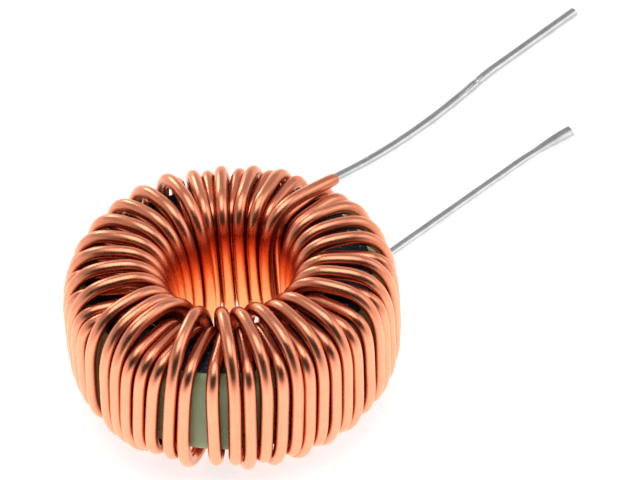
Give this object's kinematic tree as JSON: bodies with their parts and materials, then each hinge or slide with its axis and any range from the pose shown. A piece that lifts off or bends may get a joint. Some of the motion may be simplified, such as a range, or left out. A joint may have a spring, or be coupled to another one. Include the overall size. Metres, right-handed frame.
{
  "type": "toroidal inductor",
  "caption": "Toroidal inductor: enamelled copper wire wound in two layers on a flat coated powder ring, with two long tinned leads that leave side by side.",
  "frame": {"origin": "on the ring's axis, at the level of the lowest turns, which is where the part rests when it lies flat", "axes": "+Z along the ring's axis, up; +X the way both leads leave; +Y completes the right-handed set"},
  "size_m": [0.054, 0.0262, 0.014],
  "materials": {
    "core_coat": "semi-gloss sage green coat on pressed iron powder",
    "dark_coat": "semi-gloss dark blue coat, speckled",
    "enamelled_copper": "copper wire under clear amber enamel",
    "tinned_copper": "bright solder-dipped copper wire"
  },
  "bodies": {
    "root": {"core": "core_coat", "face_coat": "dark_coat", "winding": "enamelled_copper", "lead_top": "tinned_copper", "lead_bottom": "tinned_copper"}
  },
  "joints": []
}
